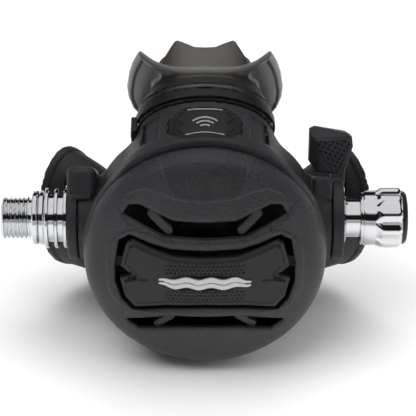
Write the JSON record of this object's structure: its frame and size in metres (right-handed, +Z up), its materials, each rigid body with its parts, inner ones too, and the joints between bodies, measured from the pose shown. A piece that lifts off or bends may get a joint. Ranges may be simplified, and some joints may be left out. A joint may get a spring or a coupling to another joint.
{
  "type": "scuba regulator second stage",
  "caption": "Dive regulator second stage: round purge cover, threaded finned inlet, breathing-effort knob, airflow lever, exhaust tee and silicone mouthpiece.",
  "frame": {"origin": "on the plane the part rests on, under the middle of its bounding box", "axes": "+X along the valve axis to the adjusting knob, -X to the hose thread, +Y backwards to the mouthpiece, +Z up"},
  "size_m": [0.1348, 0.0778, 0.0934],
  "materials": {
    "case_plastic": "satin",
    "cover_plastic": "satin",
    "button_plastic": "satin",
    "emblem_silver": "satin",
    "chrome": "polished",
    "brass": "satin",
    "spring_steel": "satin",
    "black_rubber": "matte",
    "smoke_silicone": "satin",
    "clear_silicone": "satin",
    "grey_nylon": "satin"
  },
  "bodies": {
    "valve_body": {"case_shell": "case_plastic", "case_neck": "case_plastic", "label_plate": "button_plastic", "front_cover": "cover_plastic", "inlet_fitting": "chrome", "inlet_o_ring": "black_rubber", "inlet_clip": "case_plastic", "valve_tube": "grey_nylon", "lever_pin": "spring_steel", "orifice_seat": "brass", "knob_gland": "chrome", "spindle_o_ring": "black_rubber", "exhaust_valve": "clear_silicone", "exhaust_tee": "case_plastic", "mouthpiece": "smoke_silicone", "mouthpiece_clamp": "case_plastic", "diaphragm": "black_rubber", "purge_spring": "spring_steel", "poppet_spring": "spring_steel"},
    "purge": {"purge_button": "button_plastic", "purge_emblem": "emblem_silver"},
    "diaphragm_centre": {"diaphragm_plate": "spring_steel", "diaphragm_washer": "grey_nylon"},
    "lever": {"demand_lever": "spring_steel"},
    "poppet_group": {"poppet": "brass", "poppet_seat": "black_rubber"},
    "pad": {"spring_pad": "brass"},
    "knob": {"spindle": "brass", "adjusting_knob": "chrome", "knob_cap": "button_plastic"},
    "venturi": {"venturi_lever": "case_plastic", "venturi_vane": "grey_nylon"}
  },
  "joints": [
    {"name": "purge_press", "type": "slide", "parent": "valve_body", "child": "purge", "axis": [0, 1, 0], "range_m": [0, 0.003], "stiffness_N_per_m": 300, "deforming": ["purge_spring"]},
    {"name": "diaphragm_stroke", "type": "slide", "parent": "valve_body", "child": "diaphragm_centre", "axis": [0, 1, 0], "range_m": [0, 0.003], "deforming": ["diaphragm"]},
    {"name": "lever_swing", "type": "hinge", "parent": "valve_body", "child": "lever", "pos_m": [0.013, -0.00729, 0.042], "axis": [0, 0, -1], "range_deg": [0, 13.2]},
    {"name": "poppet_stroke", "type": "slide", "parent": "valve_body", "child": "poppet_group", "axis": [1, 0, 0], "range_m": [0, 0.00115], "deforming": ["poppet_spring"]},
    {"name": "effort_travel", "type": "slide", "parent": "valve_body", "child": "pad", "axis": [1, 0, 0], "range_m": [-0.0035, 0]},
    {"name": "knob_turn", "type": "hinge", "parent": "pad", "child": "knob", "pos_m": [0.05, 0.00091, 0.042], "axis": [1, 0, 0], "range_deg": [-1260, 0]},
    {"name": "venturi_swing", "type": "hinge", "parent": "valve_body", "child": "venturi", "pos_m": [0.0436, 0.00091, 0.042], "axis": [1, 0, 0], "range_deg": [-27, 0]}
  ],
  "couplings": [
    {"joint": "diaphragm_stroke", "follows": "purge_press", "ratio": 1},
    {"joint": "lever_swing", "follows": "purge_press", "rad_per_m": 76.79},
    {"joint": "poppet_stroke", "follows": "purge_press", "ratio": 0.38},
    {"joint": "knob_turn", "follows": "effort_travel", "rad_per_m": 6283.2}
  ]
}
